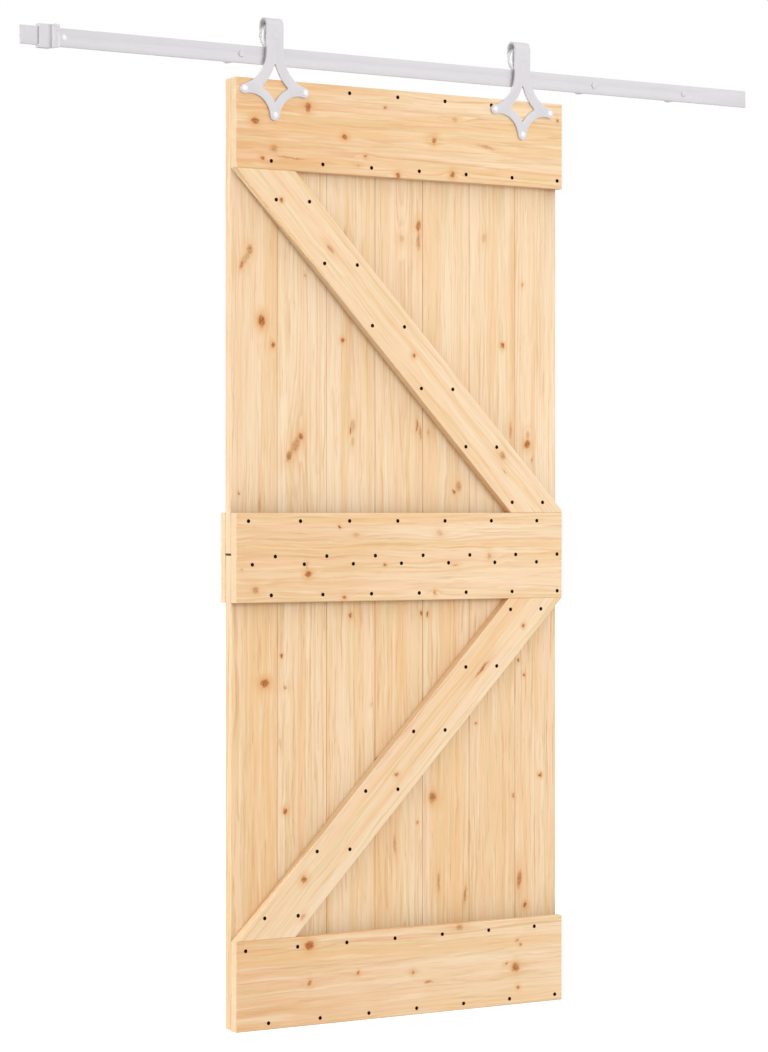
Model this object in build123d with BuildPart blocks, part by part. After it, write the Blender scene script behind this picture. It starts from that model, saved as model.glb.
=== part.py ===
"""Sliding barn door on a flat wall track, in millimetres.

X runs along the track to the right, Y goes into the wall and Z is up. The origin is where
the axis of the second wall bolt meets the wall, at the height of the track's middle.
"""
import os
from math import cos, pi, sqrt

from build123d import *

# Track: a flat bar held off the wall by round spacers
track_length = 2000
track_height = 40
track_thickness = 6
track_edge = 0.6
wall_bolt_shares = (0.052, 0.2742, 0.7655, 0.9022)
spacer_length = 58
spacer_radius = 14.5

# Lag bolts: a plain shank in the track and spacer, a thread for the wall
bolt_shank_radius = 3.5
bolt_thread_radius = 4
bolt_thread_length = 40
bolt_clearance = 0.3
bolt_hex_flats = 13
bolt_hex_height = 3
bolt_round_head_radius = 6.5
bolt_round_head_height = 3

# End stop: a clip round the track with a leg bent forward and a pad on it
stop_inset = 42
stop_width = 29
stop_wall = 5
stop_bend_radius = 4
stop_leg_reach = 20
stop_clip_lip = 9
stop_clearance = 0.25
bumper_thickness = 8
bumper_depth = 13
bumper_margin = 2
bumper_round = 2
grub_radius = 3

# Door leaf
door_width = 900
door_height = 2100
door_start = 531
door_drop = 32
rail_height = 199
rail_thickness = 22
back_rail_thickness = 20
panel_thickness = 24
panel_side_inset = 3
panel_top_inset = 1
panel_bottom_inset = 3
half_gap = 1
board_count = 7
first_board_width = 121
last_board_width = 118.5
board_gap = 0.4
board_bevel = 1.2
tongue_length = 7
tongue_thickness = 6
tongue_clearance = 0.3
brace_cut = 155
brace_overrun = 6
middle_rail_drop = 7.3
edge_ease = 1.5

# Wood screws, one in each board per row, in pairs on the braces; drawn with few sides
screw_sides = 6
screw_head_taper = 45
screw_proud = 0.2
screw_head_radius = 4.2
screw_neck_radius = 1.9
rail_screw_length = 38
middle_screw_length = 57
brace_pair_spacing = 88
first_screw_shift = 5
last_screw_shift = 11
top_row_shares = ((0.92, 0.357), (0.095, 0.81))
middle_row_shares = ((0.907, 0.357), (0.513, 0.89), (0.424, 0.433), (0.082, 0.81))
bottom_row_shares = ((0.894, 0.3), (0.073, 0.755))
upper_brace_pairs = ((0.087, 5), (0.266, -1), (0.444, -5.5), (0.627, -8), (0.8, -13), (0.968, -6.5))
lower_brace_pairs = ((0.034, -4), (0.209, -1.5), (0.401, -5), (0.575, -7), (0.748, -9), (0.936, -7.5))

# Hangers: flat strap over the wheel, spread into a star plate on the door
hanger_left_inset = 98
hanger_right_inset = 119.5
strap_width = 44
strap_thickness = 5
strap_gap = 22
strap_seat_gap = 0.3
strap_rise = 137
side_bolt_drop = 25
side_bolt_reach = 79
bottom_bolt_drop = 54
side_tip_radius = 10.5
bottom_tip_radius = 12
upper_flare_radius = 80
lower_flare_radius = 52
upper_band = 24.5
lower_band = 20
opening_corner = 2

# Bolts through hanger, top rail and panel, drawn with twelve sides as their holes are
fastener_sides = 12
round_head_taper = 36
hanger_bolt_radius = 4
hanger_bolt_clearance = 0.2
hanger_head_radius = 7.2
hanger_head_height = 3.6
nut_flats = 13
nut_height = 6.5
nut_thread_showing = 1.5

# Wheels and axles
wheel_radius = 29
rolling_radius = 24
rolling_gap = 0.3
wheel_width = 14
groove_side_gap = 0.5
groove_mouth = 10
bush_radius = 8
bush_end_play = 0.25
axle_radius = 5
axle_running_gap = 0.05
axle_head_radius = 8.5
axle_head_height = 0.4
axle_nut_flats = 16
axle_nut_height = 5
axle_thread_showing = 1

# Places that follow from the sizes
wall_bolt_x = [(share - wall_bolt_shares[1]) * track_length for share in wall_bolt_shares]
track_left = -wall_bolt_shares[1] * track_length
track_back_y = -spacer_length
track_front_y = track_back_y - track_thickness
track_middle_y = track_back_y - track_thickness / 2
bolt_hole_radius = bolt_thread_radius + bolt_clearance

strap_back_y = track_middle_y - strap_gap / 2
strap_front_y = strap_back_y - strap_thickness
back_leg_y = strap_back_y + strap_gap
door_front_y = strap_back_y + strap_seat_gap
panel_front_y = door_front_y + rail_thickness
panel_back_y = panel_front_y + panel_thickness
door_left = track_left + door_start
door_right = door_left + door_width
door_top = -track_height / 2 - door_drop
door_bottom = door_top - door_height
panel_right = door_right - panel_side_inset
inner_boards_width = panel_right - door_left - first_board_width - last_board_width
board_cover = inner_boards_width / (board_count - 2)
door_middle = (door_top + door_bottom) / 2
top_rail_bottom = door_top - rail_height
bottom_rail_top = door_bottom + rail_height
middle_rail_top = door_middle - middle_rail_drop + rail_height / 2
middle_rail_bottom = middle_rail_top - rail_height

hanger_x = {"left": door_left + hanger_left_inset, "right": door_right - hanger_right_inset}
side_bolt_z = door_top - side_bolt_drop
arch_radius = strap_gap / 2 + strap_thickness
arch_z = door_top + strap_rise - arch_radius
wheel_z = track_height / 2 + rolling_gap + rolling_radius

os.makedirs("parts", exist_ok=True)


def facing(y):
    """Plane across the door at depth y, looked at from the front: X right, Z up."""
    return Plane.XZ.offset(-y)


def keep(piece, name):
    """Label a finished piece and write it."""
    piece.part.label = name
    export_step(piece.part, f"parts/{name}.step")


def axis_through(x, z):
    """Line across the door, front to back."""
    return Axis((x, 0, z), (0, 1, 0))


def turning_plane(x, z):
    """Half plane for turned pieces: local x is the radius, local y the depth."""
    return Plane(origin=(x, 0, z))


def build_track():
    with BuildPart() as track:
        with BuildSketch(facing(track_front_y)):
            with Locations((track_left + track_length / 2, 0)):
                Rectangle(track_length, track_height)
        extrude(amount=-track_thickness)
        chamfer(track.edges().filter_by(Axis.X), track_edge)
        with BuildSketch(facing(track_front_y)):
            with Locations(*[(x, 0) for x in wall_bolt_x]):
                Circle(bolt_hole_radius)
        extrude(amount=-track_thickness, mode=Mode.SUBTRACT)
    keep(track, "track")


def build_spacer(number, x):
    with BuildPart() as spacer:
        with BuildSketch(facing(track_back_y)):
            with Locations((x, 0)):
                Circle(spacer_radius)
                Circle(bolt_hole_radius, mode=Mode.SUBTRACT)
        extrude(amount=-spacer_length)
    keep(spacer, f"spacer_{number}")


def build_wall_bolt(number, x, round_headed):
    with BuildPart() as bolt:
        with BuildSketch(turning_plane(x, 0)):
            with BuildLine():
                Polyline(
                    (0, track_front_y),
                    (bolt_shank_radius, track_front_y),
                    (bolt_shank_radius, 0),
                    (bolt_thread_radius, 0),
                    (bolt_thread_radius, bolt_thread_length),
                    (0, bolt_thread_length),
                    close=True,
                )
            make_face()
        revolve(axis=axis_through(x, 0))
        if round_headed:
            with BuildSketch(facing(track_front_y)):
                with Locations((x, 0)):
                    RegularPolygon(bolt_round_head_radius, fastener_sides)
            extrude(amount=bolt_round_head_height, taper=round_head_taper)
        else:
            with BuildSketch(facing(track_front_y)):
                with Locations((x, 0)):
                    RegularPolygon(bolt_hex_flats / 2, 6, major_radius=False)
            extrude(amount=bolt_hex_height)
    keep(bolt, f"wall_bolt_{number}")


def build_end_stop():
    clip_left = track_left + stop_inset
    leg_left = clip_left + stop_width
    clip_front_y = track_front_y - stop_clearance - stop_wall
    clip_back_y = track_back_y + stop_clearance + stop_wall
    hollow_height = track_height + 2 * stop_clearance
    stop_height = hollow_height + 2 * stop_wall
    clip_depth = clip_back_y - clip_front_y
    clip_middle_y = (clip_front_y + clip_back_y) / 2
    leg_middle_y = clip_front_y + stop_wall - stop_leg_reach / 2
    with BuildPart() as end_stop:
        with BuildSketch(Plane.YZ.offset(clip_left)):
            with Locations((clip_middle_y, 0)):
                Rectangle(clip_depth, stop_height)
                Rectangle(clip_depth - 2 * stop_wall, hollow_height, mode=Mode.SUBTRACT)
            with Locations((clip_back_y - stop_wall / 2, 0)):
                Rectangle(stop_wall, hollow_height - 2 * stop_clip_lip, mode=Mode.SUBTRACT)
        extrude(amount=stop_width)
        with BuildSketch(Plane.XY.offset(-stop_height / 2)):
            with Locations((leg_left + stop_wall / 2, leg_middle_y)):
                Rectangle(stop_wall, stop_leg_reach)
        extrude(amount=stop_height)
        upright = end_stop.edges().filter_by(Axis.Z)
        inner_bend = upright.filter_by_position(Axis.X, leg_left, leg_left)
        inner_bend = inner_bend.filter_by_position(Axis.Y, clip_front_y, clip_front_y)
        fillet(inner_bend, stop_bend_radius)
        upright = end_stop.edges().filter_by(Axis.Z)
        outer_bend = upright.group_by(Axis.X)[-1].group_by(Axis.Y)[-1]
        fillet(outer_bend, stop_bend_radius)
        with BuildSketch(Plane.XY.offset(-stop_height / 2)):
            with Locations((clip_left + stop_width / 2, track_middle_y)):
                Circle(grub_radius)
        extrude(amount=stop_wall, mode=Mode.SUBTRACT)
    keep(end_stop, "end_stop")

    with BuildPart() as stop_screw:
        with BuildSketch(Plane.XY.offset(-stop_height / 2)):
            with Locations((clip_left + stop_width / 2, track_middle_y)):
                Circle(grub_radius)
        extrude(amount=stop_wall + stop_clearance)
    keep(stop_screw, "stop_screw")

    bumper_left = leg_left + stop_wall
    leg_front_y = clip_front_y + stop_wall - stop_leg_reach
    with BuildPart() as stop_bumper:
        with BuildSketch(Plane.YZ.offset(bumper_left)):
            with Locations((leg_front_y + bumper_depth / 2, 0)):
                RectangleRounded(bumper_depth, stop_height - bumper_margin, bumper_round)
        extrude(amount=bumper_thickness)
    keep(stop_bumper, "stop_bumper")


def board_edges():
    """The panel's left side, the joints between its boards and its right side."""
    first_joint = door_left + first_board_width
    joints = [first_joint + number * board_cover for number in range(board_count - 1)]
    return [door_left, *joints, panel_right]


def build_board(name, left, right, bottom, top, grooved, tongued, bolt_places):
    panel_middle_y = (panel_front_y + panel_back_y) / 2
    width = right - left
    if tongued:
        width -= board_gap
    with BuildPart() as board:
        with BuildSketch(Plane.XY.offset(bottom)) as section:
            with Locations((left + width / 2, panel_middle_y)):
                Rectangle(width, panel_thickness)
            chamfer(section.vertices(), board_bevel)
            if grooved:
                groove_depth = tongue_length + tongue_clearance
                with Locations((left + groove_depth / 2, panel_middle_y)):
                    Rectangle(groove_depth, tongue_thickness + 2 * tongue_clearance, mode=Mode.SUBTRACT)
            if tongued:
                with Locations((left + width + tongue_length / 2, panel_middle_y)):
                    Rectangle(tongue_length, tongue_thickness)
        extrude(amount=top - bottom)
        if bolt_places:
            with BuildSketch(facing(panel_front_y)):
                with Locations(*bolt_places):
                    RegularPolygon(hanger_bolt_radius + hanger_bolt_clearance, fastener_sides)
            extrude(amount=-panel_thickness, mode=Mode.SUBTRACT)
    keep(board, name)


def build_boards():
    edges = board_edges()
    last = len(edges) - 1
    for number in range(1, last + 1):
        left = edges[number - 1]
        right = edges[number]
        grooved = number > 1
        tongued = number < last
        reach = hanger_bolt_radius + hanger_bolt_clearance + board_gap
        places = [(x, z) for x, z in hanger_bolt_places() if left - reach < x < right + tongue_length + reach]
        build_board(f"upper_board_{number}", left, right, door_middle + half_gap / 2,
                    door_top - panel_top_inset, grooved, tongued, places)
        build_board(f"lower_board_{number}", left, right, door_bottom + panel_bottom_inset,
                    door_middle - half_gap / 2, grooved, tongued, [])


def hanger_bolt_places(sides=("left", "right")):
    """Where the bolts of the hangers go through the door, as X and Z."""
    places = []
    for side in sides:
        x = hanger_x[side]
        places.append((x - side_bolt_reach, side_bolt_z))
        places.append((x + side_bolt_reach, side_bolt_z))
        places.append((x, side_bolt_z - bottom_bolt_drop))
    return places


def build_rail(name, bottom, face_y, thickness, to_front, bolt_places):
    """A cross board whose outer face is at face_y, with eased edges there."""
    inward = -thickness if to_front else thickness
    with BuildPart() as rail:
        with BuildSketch(facing(face_y)):
            with Locations((door_left + door_width / 2, bottom + rail_height / 2)):
                Rectangle(door_width, rail_height)
        extrude(amount=inward)
        outer_face = rail.faces().filter_by(Axis.Y).sort_by(Axis.Y)[0 if to_front else -1]
        chamfer(outer_face.edges(), edge_ease)
        if bolt_places:
            with BuildSketch(facing(face_y)):
                with Locations(*bolt_places):
                    RegularPolygon(hanger_bolt_radius + hanger_bolt_clearance, fastener_sides)
            extrude(amount=inward, mode=Mode.SUBTRACT)
    keep(rail, name)


def build_brace(name, top, bottom, top_left, bottom_left):
    """A slanted board whose ends are cut level against the rails, and upright at the door's edge."""
    corners = [(top_left, top), (top_left + brace_cut, top)]
    overrun = bottom_left + brace_cut - door_right
    if overrun > 0:
        slope = (bottom_left - top_left) / (top - bottom)
        corners += [(door_right, bottom + overrun / slope), (door_right, bottom)]
    else:
        corners.append((bottom_left + brace_cut, bottom))
    corners.append((bottom_left, bottom))
    with BuildPart() as brace:
        with BuildSketch(facing(door_front_y)):
            with BuildLine():
                Polyline(*corners, close=True)
            make_face()
        extrude(amount=-rail_thickness)
        outer_face = brace.faces().filter_by(Axis.Y).sort_by(Axis.Y)[0]
        chamfer(outer_face.edges(), edge_ease)
    keep(brace, name)


def wood_screw(length):
    """One screw with its head at the origin, pointing along Y."""
    head_depth = (screw_head_radius - screw_neck_radius) * cos(pi / screw_sides)
    with BuildPart() as screw:
        with BuildSketch(facing(0)):
            RegularPolygon(screw_head_radius, screw_sides)
        extrude(amount=-head_depth, taper=screw_head_taper)
        with BuildSketch(facing(head_depth)):
            RegularPolygon(screw_neck_radius, screw_sides)
        extrude(amount=head_depth - length)
    return screw.part


def build_screws(name, places, length):
    screw = wood_screw(length)
    with BuildPart() as screws:
        with Locations(*[(x, door_front_y - screw_proud, z) for x, z in places]):
            add(screw)
    keep(screws, name)


def row_places(rail_bottom, row_shares, inner_rows=()):
    """Rows of screws along a rail: the height in the rail, then the place in each board."""
    edges = board_edges()
    boards = len(edges) - 1
    places = []
    for row, (height_share, board_share) in enumerate(row_shares):
        for number in range(boards):
            joint = edges[number] if number else edges[1] - board_cover - first_screw_shift
            x = joint + board_share * board_cover
            if row in inner_rows and number == boards - 1:
                x -= last_screw_shift
            places.append((x, rail_bottom + height_share * rail_height))
    return places


def brace_places(top, bottom, top_left, bottom_left, pairs):
    """Level pairs of screws down a brace: the share of its height, and how far off its middle."""
    places = []
    for share, shift in pairs:
        middle = top_left + (bottom_left - top_left) * share + brace_cut / 2 + shift
        z = top + (bottom - top) * share
        places.append((middle - brace_pair_spacing / 2, z))
        places.append((middle + brace_pair_spacing / 2, z))
    return places


def build_leaf():
    build_boards()
    build_rail("top_rail", top_rail_bottom, door_front_y, rail_thickness, True, hanger_bolt_places())
    build_rail("middle_rail_front", middle_rail_bottom, door_front_y, rail_thickness, True, [])
    build_rail("bottom_rail", door_bottom, door_front_y, rail_thickness, True, [])
    build_rail("middle_rail_back", middle_rail_bottom, panel_back_y + back_rail_thickness,
               back_rail_thickness, False, [])
    right_cut = door_right - brace_cut
    upper_line = (top_rail_bottom, middle_rail_top, door_left, right_cut + brace_overrun)
    lower_line = (middle_rail_bottom, bottom_rail_top, right_cut, door_left)
    build_brace("upper_brace", *upper_line)
    build_brace("lower_brace", *lower_line)
    build_screws("top_rail_screws", row_places(top_rail_bottom, top_row_shares), rail_screw_length)
    build_screws("middle_rail_screws", row_places(middle_rail_bottom, middle_row_shares, (1, 2)),
                 middle_screw_length)
    build_screws("bottom_rail_screws", row_places(door_bottom, bottom_row_shares), rail_screw_length)
    build_screws("upper_brace_screws", brace_places(*upper_line, upper_brace_pairs), rail_screw_length)
    build_screws("lower_brace_screws", brace_places(*lower_line, lower_brace_pairs), rail_screw_length)


def crossing(centre_a, radius_a, centre_b, radius_b):
    """The right-hand crossing of two circles."""
    span = centre_b - centre_a
    along = (radius_a**2 - radius_b**2 + span.length**2) / (2 * span.length)
    aside = sqrt(radius_a**2 - along**2)
    direction = span.normalized()
    normal = Vector(-direction.Y, direction.X)
    base = centre_a + direction * along
    return max(base + normal * aside, base - normal * aside, key=lambda point: point.X)


def bow(centre, start, end):
    """The short arc about a centre from start to end."""
    chord_middle = (start + end) / 2
    crown = centre + (chord_middle - centre).normalized() * (start - centre).length
    ThreePointArc(start, crown, end)


def flipped(point):
    """The same point on the left half of the star."""
    return Vector(-point.X, point.Y)


def star_points():
    """Centres and corners of the right half of the star plate, about its side bolts' middle."""
    side_tip = Vector(side_bolt_reach, 0)
    bottom_tip = Vector(0, -bottom_bolt_drop)
    flare_x = strap_width / 2 + upper_flare_radius
    tip_span = upper_flare_radius + side_tip_radius
    upper_centre = Vector(flare_x, sqrt(tip_span**2 - (flare_x - side_bolt_reach) ** 2))
    lower_centre = crossing(side_tip, side_tip_radius + lower_flare_radius,
                            bottom_tip, bottom_tip_radius + lower_flare_radius)
    upper_inner = upper_flare_radius + upper_band
    lower_inner = lower_flare_radius + lower_band
    return {
        "side_tip": side_tip,
        "bottom_tip": bottom_tip,
        "upper_centre": upper_centre,
        "lower_centre": lower_centre,
        "neck": Vector(strap_width / 2, upper_centre.Y),
        "side_top": side_tip + (upper_centre - side_tip).normalized() * side_tip_radius,
        "side_end": side_tip + Vector(side_tip_radius, 0),
        "side_low": side_tip + (lower_centre - side_tip).normalized() * side_tip_radius,
        "bottom_right": bottom_tip + (lower_centre - bottom_tip).normalized() * bottom_tip_radius,
        "bottom_end": bottom_tip - Vector(0, bottom_tip_radius),
        "apex": Vector(0, upper_centre.Y - sqrt(upper_inner**2 - upper_centre.X**2)),
        "corner": flipped(crossing(flipped(upper_centre), upper_inner, flipped(lower_centre), lower_inner)),
        "base": Vector(0, lower_centre.Y + sqrt(lower_inner**2 - lower_centre.X**2)),
    }


def build_hanger(side):
    x = hanger_x[side]
    star = star_points()
    plate_plane = Plane(origin=(x, strap_front_y, side_bolt_z), x_dir=(1, 0, 0), z_dir=(0, -1, 0))
    arch_rise = arch_z - side_bolt_z
    axle_rise = wheel_z - side_bolt_z
    axle_hole_radius = axle_radius + axle_running_gap
    with BuildPart() as hanger:
        with BuildSketch(plate_plane):
            with BuildLine():
                for turn in (lambda point: point, flipped):
                    Line(turn(Vector(strap_width / 2, arch_rise)), turn(star["neck"]))
                    bow(turn(star["upper_centre"]), turn(star["neck"]), turn(star["side_top"]))
                    ThreePointArc(turn(star["side_top"]), turn(star["side_end"]), turn(star["side_low"]))
                    bow(turn(star["lower_centre"]), turn(star["side_low"]), turn(star["bottom_right"]))
                ThreePointArc(star["bottom_right"], star["bottom_end"], flipped(star["bottom_right"]))
                Line((-strap_width / 2, arch_rise), (strap_width / 2, arch_rise))
            make_face()
            with Locations((-side_bolt_reach, 0), (side_bolt_reach, 0), (0, -bottom_bolt_drop)):
                hole_radius = hanger_bolt_radius + hanger_bolt_clearance
                RegularPolygon(hole_radius, fastener_sides, mode=Mode.SUBTRACT)
            with Locations((0, axle_rise)):
                Circle(axle_hole_radius, mode=Mode.SUBTRACT)
        extrude(amount=-strap_thickness)
        with BuildSketch(plate_plane) as opening:
            with BuildLine():
                for turn in (lambda point: point, flipped):
                    bow(turn(star["upper_centre"]), turn(star["apex"]), turn(star["corner"]))
                    bow(turn(star["lower_centre"]), turn(star["corner"]), turn(star["base"]))
            make_face()
            fillet(opening.vertices(), opening_corner)
        extrude(amount=-strap_thickness, mode=Mode.SUBTRACT)
        with BuildSketch(Plane.YZ.offset(x - strap_width / 2)):
            with Locations((track_middle_y, arch_z)):
                Circle(arch_radius)
                Circle(strap_gap / 2, mode=Mode.SUBTRACT)
                Rectangle(2 * arch_radius, arch_radius, align=(Align.CENTER, Align.MAX), mode=Mode.SUBTRACT)
        extrude(amount=strap_width)
        with BuildSketch(facing(back_leg_y)):
            with Locations((x, wheel_z)):
                Circle(strap_width / 2)
                Rectangle(strap_width, arch_z - wheel_z, align=(Align.CENTER, Align.MIN))
                Circle(axle_hole_radius, mode=Mode.SUBTRACT)
        extrude(amount=-strap_thickness)
    keep(hanger, f"hanger_{side}")


def build_hanger_bolts(side):
    bolt_end_y = panel_back_y + nut_height + nut_thread_showing
    with BuildPart() as bolt:
        with BuildSketch(facing(strap_front_y)):
            RegularPolygon(hanger_head_radius, fastener_sides)
        extrude(amount=hanger_head_height, taper=round_head_taper)
        with BuildSketch(facing(strap_front_y)):
            RegularPolygon(hanger_bolt_radius, fastener_sides)
        extrude(amount=strap_front_y - bolt_end_y)
    with BuildPart() as nut:
        with BuildSketch(facing(panel_back_y)):
            RegularPolygon(nut_flats / 2, 6, major_radius=False)
            RegularPolygon(hanger_bolt_radius, fastener_sides, mode=Mode.SUBTRACT)
        extrude(amount=-nut_height)
    places = [(x, 0, z) for x, z in hanger_bolt_places((side,))]
    with BuildPart() as bolts:
        with Locations(*places):
            add(bolt.part)
    keep(bolts, f"hanger_bolts_{side}")
    with BuildPart() as nuts:
        with Locations(*places):
            add(nut.part)
    keep(nuts, f"hanger_nuts_{side}")


def build_wheel(side):
    x = hanger_x[side]
    plane = Plane(origin=(x, track_middle_y, wheel_z))
    axis = axis_through(x, wheel_z)
    half = wheel_width / 2
    groove_half = track_thickness / 2 + groove_side_gap
    with BuildPart() as wheel:
        with BuildSketch(plane):
            with BuildLine():
                Polyline(
                    (bush_radius, -half),
                    (wheel_radius, -half),
                    (wheel_radius, -groove_mouth / 2),
                    (rolling_radius, -groove_half),
                    (rolling_radius, groove_half),
                    (wheel_radius, groove_mouth / 2),
                    (wheel_radius, half),
                    (bush_radius, half),
                    close=True,
                )
            make_face()
        revolve(axis=axis)
    keep(wheel, f"wheel_{side}")

    bush_front_y = strap_back_y + bush_end_play
    with BuildPart() as bush:
        with BuildSketch(facing(bush_front_y)):
            with Locations((x, wheel_z)):
                Circle(bush_radius)
                Circle(axle_radius + axle_running_gap, mode=Mode.SUBTRACT)
        extrude(amount=2 * bush_end_play - strap_gap)
    keep(bush, f"wheel_bush_{side}")


def build_axle(side):
    x = hanger_x[side]
    nut_seat_y = back_leg_y + strap_thickness
    axle_end_y = nut_seat_y + axle_nut_height + axle_thread_showing
    with BuildPart() as axle:
        with BuildSketch(facing(strap_front_y)):
            with Locations((x, wheel_z)):
                Circle(axle_head_radius)
        extrude(amount=axle_head_height)
        with BuildSketch(facing(strap_front_y)):
            with Locations((x, wheel_z)):
                Circle(axle_radius)
        extrude(amount=strap_front_y - axle_end_y)
    keep(axle, f"axle_{side}")

    with BuildPart() as nut:
        with BuildSketch(facing(nut_seat_y)):
            with Locations((x, wheel_z)):
                RegularPolygon(axle_nut_flats / 2, 6, major_radius=False)
                Circle(axle_radius, mode=Mode.SUBTRACT)
        extrude(amount=-axle_nut_height)
    keep(nut, f"axle_nut_{side}")


build_track()
for number, x in enumerate(wall_bolt_x, 1):
    build_spacer(number, x)
    build_wall_bolt(number, x, round_headed=number == 1)
build_end_stop()
build_leaf()
for side in hanger_x:
    build_hanger(side)
    build_hanger_bolts(side)
    build_wheel(side)
    build_axle(side)
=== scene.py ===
"""Sliding barn door in pale pine on a white flat track: the finish of every piece, in metres."""
import math

import bmesh
import bpy
from mathutils import Euler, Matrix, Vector


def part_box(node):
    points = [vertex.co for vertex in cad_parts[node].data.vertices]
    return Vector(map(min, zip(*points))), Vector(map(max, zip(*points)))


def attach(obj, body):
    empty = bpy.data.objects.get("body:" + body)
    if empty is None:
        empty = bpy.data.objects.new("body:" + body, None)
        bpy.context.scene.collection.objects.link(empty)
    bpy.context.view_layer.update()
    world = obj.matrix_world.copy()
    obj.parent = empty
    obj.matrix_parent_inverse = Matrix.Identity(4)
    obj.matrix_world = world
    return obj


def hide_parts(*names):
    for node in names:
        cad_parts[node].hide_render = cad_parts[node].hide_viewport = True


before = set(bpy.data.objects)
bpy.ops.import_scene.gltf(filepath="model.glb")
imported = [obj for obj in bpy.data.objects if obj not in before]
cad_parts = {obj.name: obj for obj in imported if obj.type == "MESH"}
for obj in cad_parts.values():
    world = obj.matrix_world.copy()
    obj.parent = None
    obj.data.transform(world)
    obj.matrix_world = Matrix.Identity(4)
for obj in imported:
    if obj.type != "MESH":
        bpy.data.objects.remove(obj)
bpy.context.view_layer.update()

SIDES = ("left", "right")
BOLTS = ("wall_bolt_1", "wall_bolt_2", "wall_bolt_3", "wall_bolt_4")
SCREW_GROUPS = ("top_rail_screws", "upper_brace_screws", "middle_rail_screws",
                "lower_brace_screws", "bottom_rail_screws")

# The view: a level camera to the left of the door, in the photograph's own pixels
photo_width = 768
photo_height = 1052
focal_length = 3374
horizon = 512.6
eye = Vector((-3.9394, -6.3627, -1.0095))
ahead = Vector((0.5656, 0.8246, 0)).normalized()
aside = Vector((ahead.y, -ahead.x, 0))
upward = Vector((0, 0, 1))

# Wood
wood_edge = 0.0007

# Strap hangers
strap_width = 0.044
strap_thickness = 0.005
side_bolt_reach = 0.079
bottom_bolt_drop = 0.054
side_bolt_drop = 0.025
side_tip_radius = 0.0105
bottom_tip_radius = 0.012
upper_flare_radius = 0.080
lower_flare_radius = 0.052
upper_band = 0.0245
lower_band = 0.020
opening_corner = 0.002
bolt_hole_radius = 0.0042
axle_hole_radius = 0.00505
strap_edge = 0.0006

# Wheels, spacers and fasteners
wheel_radius = 0.029
rolling_radius = 0.024
bush_radius = 0.008
axle_radius = 0.005
spacer_wall_hole = 0.0043
screw_head_radius = 0.0044
thread_radius = 0.004
thread_core = 0.0033
hanger_head_radius = 0.0072
hanger_head_height = 0.0036


def tone(red, green, blue):
    """A colour as seen on a screen, turned to the linear values that shaders use."""
    def linear(part):
        part = part / 255
        return part / 12.92 if part <= 0.04045 else ((part + 0.055) / 1.055) ** 2.4
    return (linear(red), linear(green), linear(blue), 1)


def spot(px, py, face_y):
    """The X and Z on an upright face at depth face_y that a pixel of the view looks at."""
    ray = ahead + aside * ((px - photo_width / 2) / focal_length) + upward * ((horizon - py) / focal_length)
    point = eye + ray * ((face_y - eye.y) / ray.y)
    return point.x, point.z


class Field:
    """One output of a finish's nodes; arithmetic on it adds Math nodes."""

    def __init__(self, finish, socket):
        self.finish = finish
        self.socket = socket

    def __add__(self, other):
        return self.finish.math("ADD", self, other)

    def __sub__(self, other):
        return self.finish.math("SUBTRACT", self, other)

    def __rsub__(self, other):
        return self.finish.math("SUBTRACT", other, self)

    def __mul__(self, other):
        return self.finish.math("MULTIPLY", self, other)

    def __truediv__(self, other):
        return self.finish.math("DIVIDE", self, other)

    def __pow__(self, other):
        return self.finish.math("POWER", self, other)

    __radd__ = __add__
    __rmul__ = __mul__

    def most(self, other):
        return self.finish.math("MAXIMUM", self, other)

    def step(self, low, high, start=0, end=1):
        """Rises smoothly from start to end while the value goes from low to high."""
        return self.finish.node("ShaderNodeMapRange", {"interpolation_type": "SMOOTHSTEP"},
                                {"Value": self, "From Min": low, "From Max": high, "To Min": start, "To Max": end})


class Finish:
    """A procedural material: its nodes, and maths on them written as expressions."""

    def __init__(self, name):
        self.material = bpy.data.materials.new(name)
        self.material.use_nodes = True
        self.tree = self.material.node_tree
        self.shader = self.tree.nodes["Principled BSDF"]

    def feed(self, socket, value):
        if isinstance(value, Field):
            self.tree.links.new(value.socket, socket)
        else:
            socket.default_value = value

    def node(self, kind, settings=None, sockets=None, output=0):
        made = self.tree.nodes.new(kind)
        for setting, value in (settings or {}).items():
            setattr(made, setting, value)
        for socket, value in (sockets or {}).items():
            self.feed(made.inputs[socket], value)
        return Field(self, made.outputs[output])

    def math(self, operation, *values):
        return self.node("ShaderNodeMath", {"operation": operation}, dict(enumerate(values)))

    def vector(self, operation, *values, output=0):
        return self.node("ShaderNodeVectorMath", {"operation": operation}, dict(enumerate(values)), output)

    def mix(self, first, second, share, blend="MIX"):
        return self.node("ShaderNodeMix", {"data_type": "RGBA", "blend_type": blend, "clamp_factor": True},
                         {0: share, 6: first, 7: second}, output=2)

    def noise(self, at, scale, detail=2, roughness=0.5, output=0):
        """Noise whose scale may differ along the three directions."""
        if isinstance(scale, tuple):
            at = self.vector("MULTIPLY", at, scale)
            scale = 1
        return self.node("ShaderNodeTexNoise", None,
                         {"Vector": at, "Scale": scale, "Detail": detail, "Roughness": roughness}, output)

    def place(self, middle=(0, 0, 0), turn=(0, 0, 0)):
        """Object coordinates about a piece's middle, turned to its own directions."""
        at = self.node("ShaderNodeTexCoord", output="Object")
        return self.node("ShaderNodeMapping", {"vector_type": "TEXTURE"},
                         {"Vector": at, "Location": middle, "Rotation": turn})

    def axes(self, at):
        split = self.tree.nodes.new("ShaderNodeSeparateXYZ")
        self.feed(split.inputs[0], at)
        return [Field(self, out) for out in split.outputs]

    def bump(self, height, distance, strength):
        return self.node("ShaderNodeBump", None, {"Height": height, "Distance": distance, "Strength": strength})

    def surface(self, **values):
        """Links or sets the shader's sockets, named with underscores for spaces."""
        for name, value in values.items():
            self.feed(self.shader.inputs[name.replace("_", " ")], value)
        return self.material


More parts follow.
